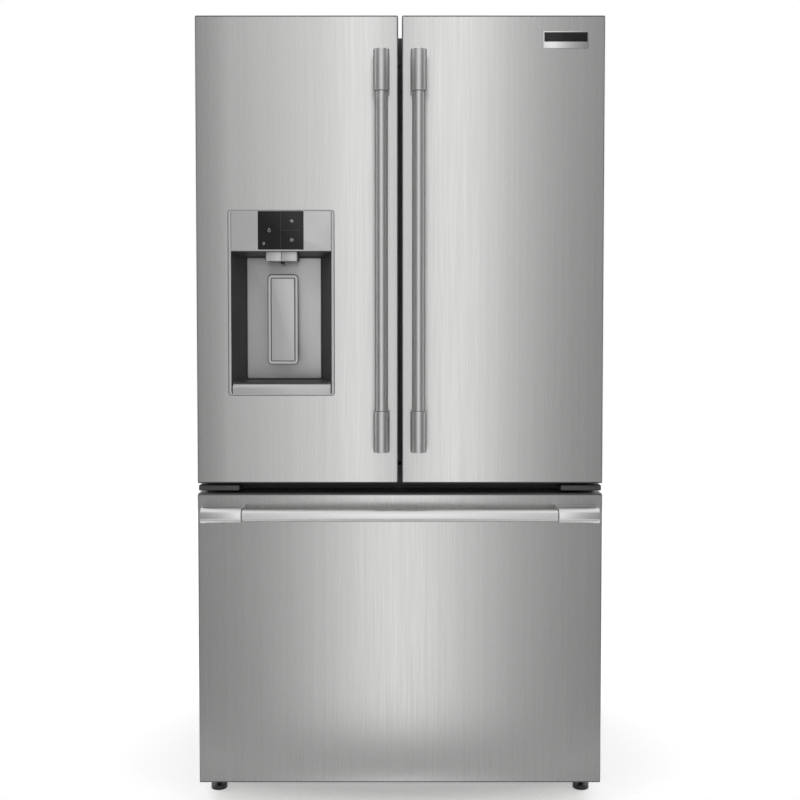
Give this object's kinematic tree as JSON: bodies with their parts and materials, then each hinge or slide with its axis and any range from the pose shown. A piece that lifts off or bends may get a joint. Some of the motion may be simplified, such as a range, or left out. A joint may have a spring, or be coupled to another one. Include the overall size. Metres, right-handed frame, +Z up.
{
  "type": "french door refrigerator",
  "caption": "Free-standing refrigerator with two upper doors, a bottom freezer drawer, bar handles and a water and ice dispenser in the left door.",
  "frame": {"origin": "on the floor, under the middle of the overall box", "axes": "+Z up, the doors face -Y, +X is to the right as seen from the front"},
  "size_m": [0.905, 0.797, 1.7855],
  "materials": {
    "stainless": "vertical brushed",
    "handle_steel": "satin polished",
    "case_paint": "textured grey paint",
    "galvanized": "galvanized",
    "zinc_plate": "zinc plated",
    "black_steel": "black enamel",
    "white_liner": "vacuum-formed, satin",
    "foam": "rigid foam",
    "grey_rubber": "soft vinyl",
    "dark_plastic": "fine texture",
    "silver_plastic": "silver painted",
    "clear_plastic": "clear moulded",
    "shelf_glass": "tempered, polished",
    "white_wire": "powder coated",
    "copper": "bare copper tube",
    "aluminium": "mill finish"
  },
  "bodies": {
    "cabinet": {"cabinet_shell": "case_paint", "rear_panel": "galvanized", "cabinet_foam": "foam", "fridge_liner": "white_liner", "freezer_liner": "white_liner", "mullion_rail": "zinc_plate", "base_frame": "galvanized", "compressor_cover": "galvanized", "compressor": "black_steel", "condenser_coil": "copper", "evaporator_coil": "aluminium", "evaporator_cover": "white_liner", "ice_maker_housing": "white_liner", "top_hinge_left": "zinc_plate", "top_hinge_right": "zinc_plate", "hinge_cover_left": "dark_plastic", "hinge_cover_right": "dark_plastic", "crisper_shelf": "shelf_glass", "freezer_rail_left": "zinc_plate", "freezer_rail_right": "zinc_plate", "shelf_upper_left": "shelf_glass", "shelf_upper_right": "shelf_glass", "shelf_lower": "shelf_glass"},
    "condenser_fan": {"condenser_fan": "dark_plastic"},
    "evaporator_fan": {"evaporator_fan": "dark_plastic"},
    "rear_roller_left": {"rear_roller_left": "dark_plastic"},
    "rear_roller_right": {"rear_roller_right": "dark_plastic"},
    "leveling_leg_left": {"leveling_leg_left": "black_steel"},
    "leveling_leg_right": {"leveling_leg_right": "black_steel"},
    "crisper_left": {"crisper_left": "clear_plastic"},
    "crisper_right": {"crisper_right": "clear_plastic"},
    "ice_bin": {"ice_bin": "clear_plastic"},
    "freezer_upper_basket": {"freezer_upper_basket": "white_liner"},
    "left_door": {"left_door_skin": "stainless", "left_door_liner": "white_liner", "left_door_gasket": "grey_rubber", "left_handle_tube": "handle_steel", "left_handle_upper_post": "handle_steel", "left_handle_lower_post": "handle_steel", "dispenser_housing": "silver_plastic", "left_door_bin_upper": "clear_plastic", "left_door_bin_lower": "clear_plastic"},
    "dispenser_paddle": {"dispenser_paddle": "silver_plastic"},
    "drip_tray": {"drip_tray": "silver_plastic"},
    "flipper": {"flipper_mullion": "dark_plastic"},
    "right_door": {"right_door_skin": "stainless", "right_door_liner": "white_liner", "right_door_gasket": "grey_rubber", "right_handle_tube": "handle_steel", "right_handle_upper_post": "handle_steel", "right_handle_lower_post": "handle_steel", "right_door_bin_upper": "clear_plastic", "right_door_bin_lower": "clear_plastic"},
    "freezer_drawer": {"drawer_skin": "stainless", "drawer_liner": "white_liner", "drawer_gasket": "grey_rubber", "drawer_handle_tube": "handle_steel", "drawer_handle_left_post": "handle_steel", "drawer_handle_right_post": "handle_steel", "freezer_basket": "white_wire"}
  },
  "joints": [
    {"name": "left_door_hinge", "type": "hinge", "parent": "cabinet", "child": "left_door", "pos_m": [-0.4385, -0.2705, 0.742], "axis": [0, 0, -1], "range_deg": [0, 120]},
    {"name": "right_door_hinge", "type": "hinge", "parent": "cabinet", "child": "right_door", "pos_m": [0.4385, -0.2705, 0.742], "axis": [0, 0, 1], "range_deg": [0, 120]},
    {"name": "freezer_drawer_slide", "type": "slide", "parent": "cabinet", "child": "freezer_drawer", "axis": [0, -1, 0], "range_m": [0, 0.34]},
    {"name": "freezer_upper_basket_slide", "type": "slide", "parent": "cabinet", "child": "freezer_upper_basket", "axis": [0, -1, 0], "range_m": [0, 0.272]},
    {"name": "flipper_fold", "type": "hinge", "parent": "left_door", "child": "flipper", "pos_m": [-0.044, -0.2355, 0.779], "axis": [0, 0, 1], "range_deg": [0, 90]},
    {"name": "dispenser_paddle_hinge", "type": "hinge", "parent": "left_door", "child": "dispenser_paddle", "pos_m": [-0.2634, -0.3015, 1.207], "axis": [1, 0, 0], "range_deg": [0, 6], "stiffness_Nm_per_rad": 0.6, "springref_deg": -2.86},
    {"name": "drip_tray_slide", "type": "slide", "parent": "left_door", "child": "drip_tray", "axis": [0, -1, 0], "range_m": [0, 0.045]},
    {"name": "crisper_left_slide", "type": "slide", "parent": "cabinet", "child": "crisper_left", "axis": [0, -1, 0], "range_m": [0, 0.09]},
    {"name": "crisper_right_slide", "type": "slide", "parent": "cabinet", "child": "crisper_right", "axis": [0, -1, 0], "range_m": [0, 0.09]},
    {"name": "ice_bin_slide", "type": "slide", "parent": "cabinet", "child": "ice_bin", "axis": [0, -1, 0], "range_m": [0, 0.06]},
    {"name": "condenser_fan_spin", "type": "hinge", "parent": "cabinet", "child": "condenser_fan", "pos_m": [0.02, 0.2904, 0.157], "axis": [1, 0, 0], "continuous": true},
    {"name": "evaporator_fan_spin", "type": "hinge", "parent": "cabinet", "child": "evaporator_fan", "pos_m": [0, 0.2495, 0.6], "axis": [0, -1, 0], "continuous": true},
    {"name": "rear_roller_left_spin", "type": "hinge", "parent": "cabinet", "child": "rear_roller_left", "pos_m": [-0.421, 0.3235, 0.02], "axis": [1, 0, 0], "continuous": true},
    {"name": "rear_roller_right_spin", "type": "hinge", "parent": "cabinet", "child": "rear_roller_right", "pos_m": [0.421, 0.3235, 0.02], "axis": [1, 0, 0], "continuous": true},
    {"name": "leveling_leg_left_screw", "type": "slide", "parent": "cabinet", "child": "leveling_leg_left", "axis": [0, 0, -1], "range_m": [0, 0.015]},
    {"name": "leveling_leg_right_screw", "type": "slide", "parent": "cabinet", "child": "leveling_leg_right", "axis": [0, 0, -1], "range_m": [0, 0.015]}
  ],
  "couplings": [
    {"joint": "flipper_fold", "follows": "left_door_hinge", "ratio": 0.75},
    {"joint": "freezer_upper_basket_slide", "follows": "freezer_drawer_slide", "ratio": 0.8}
  ]
}
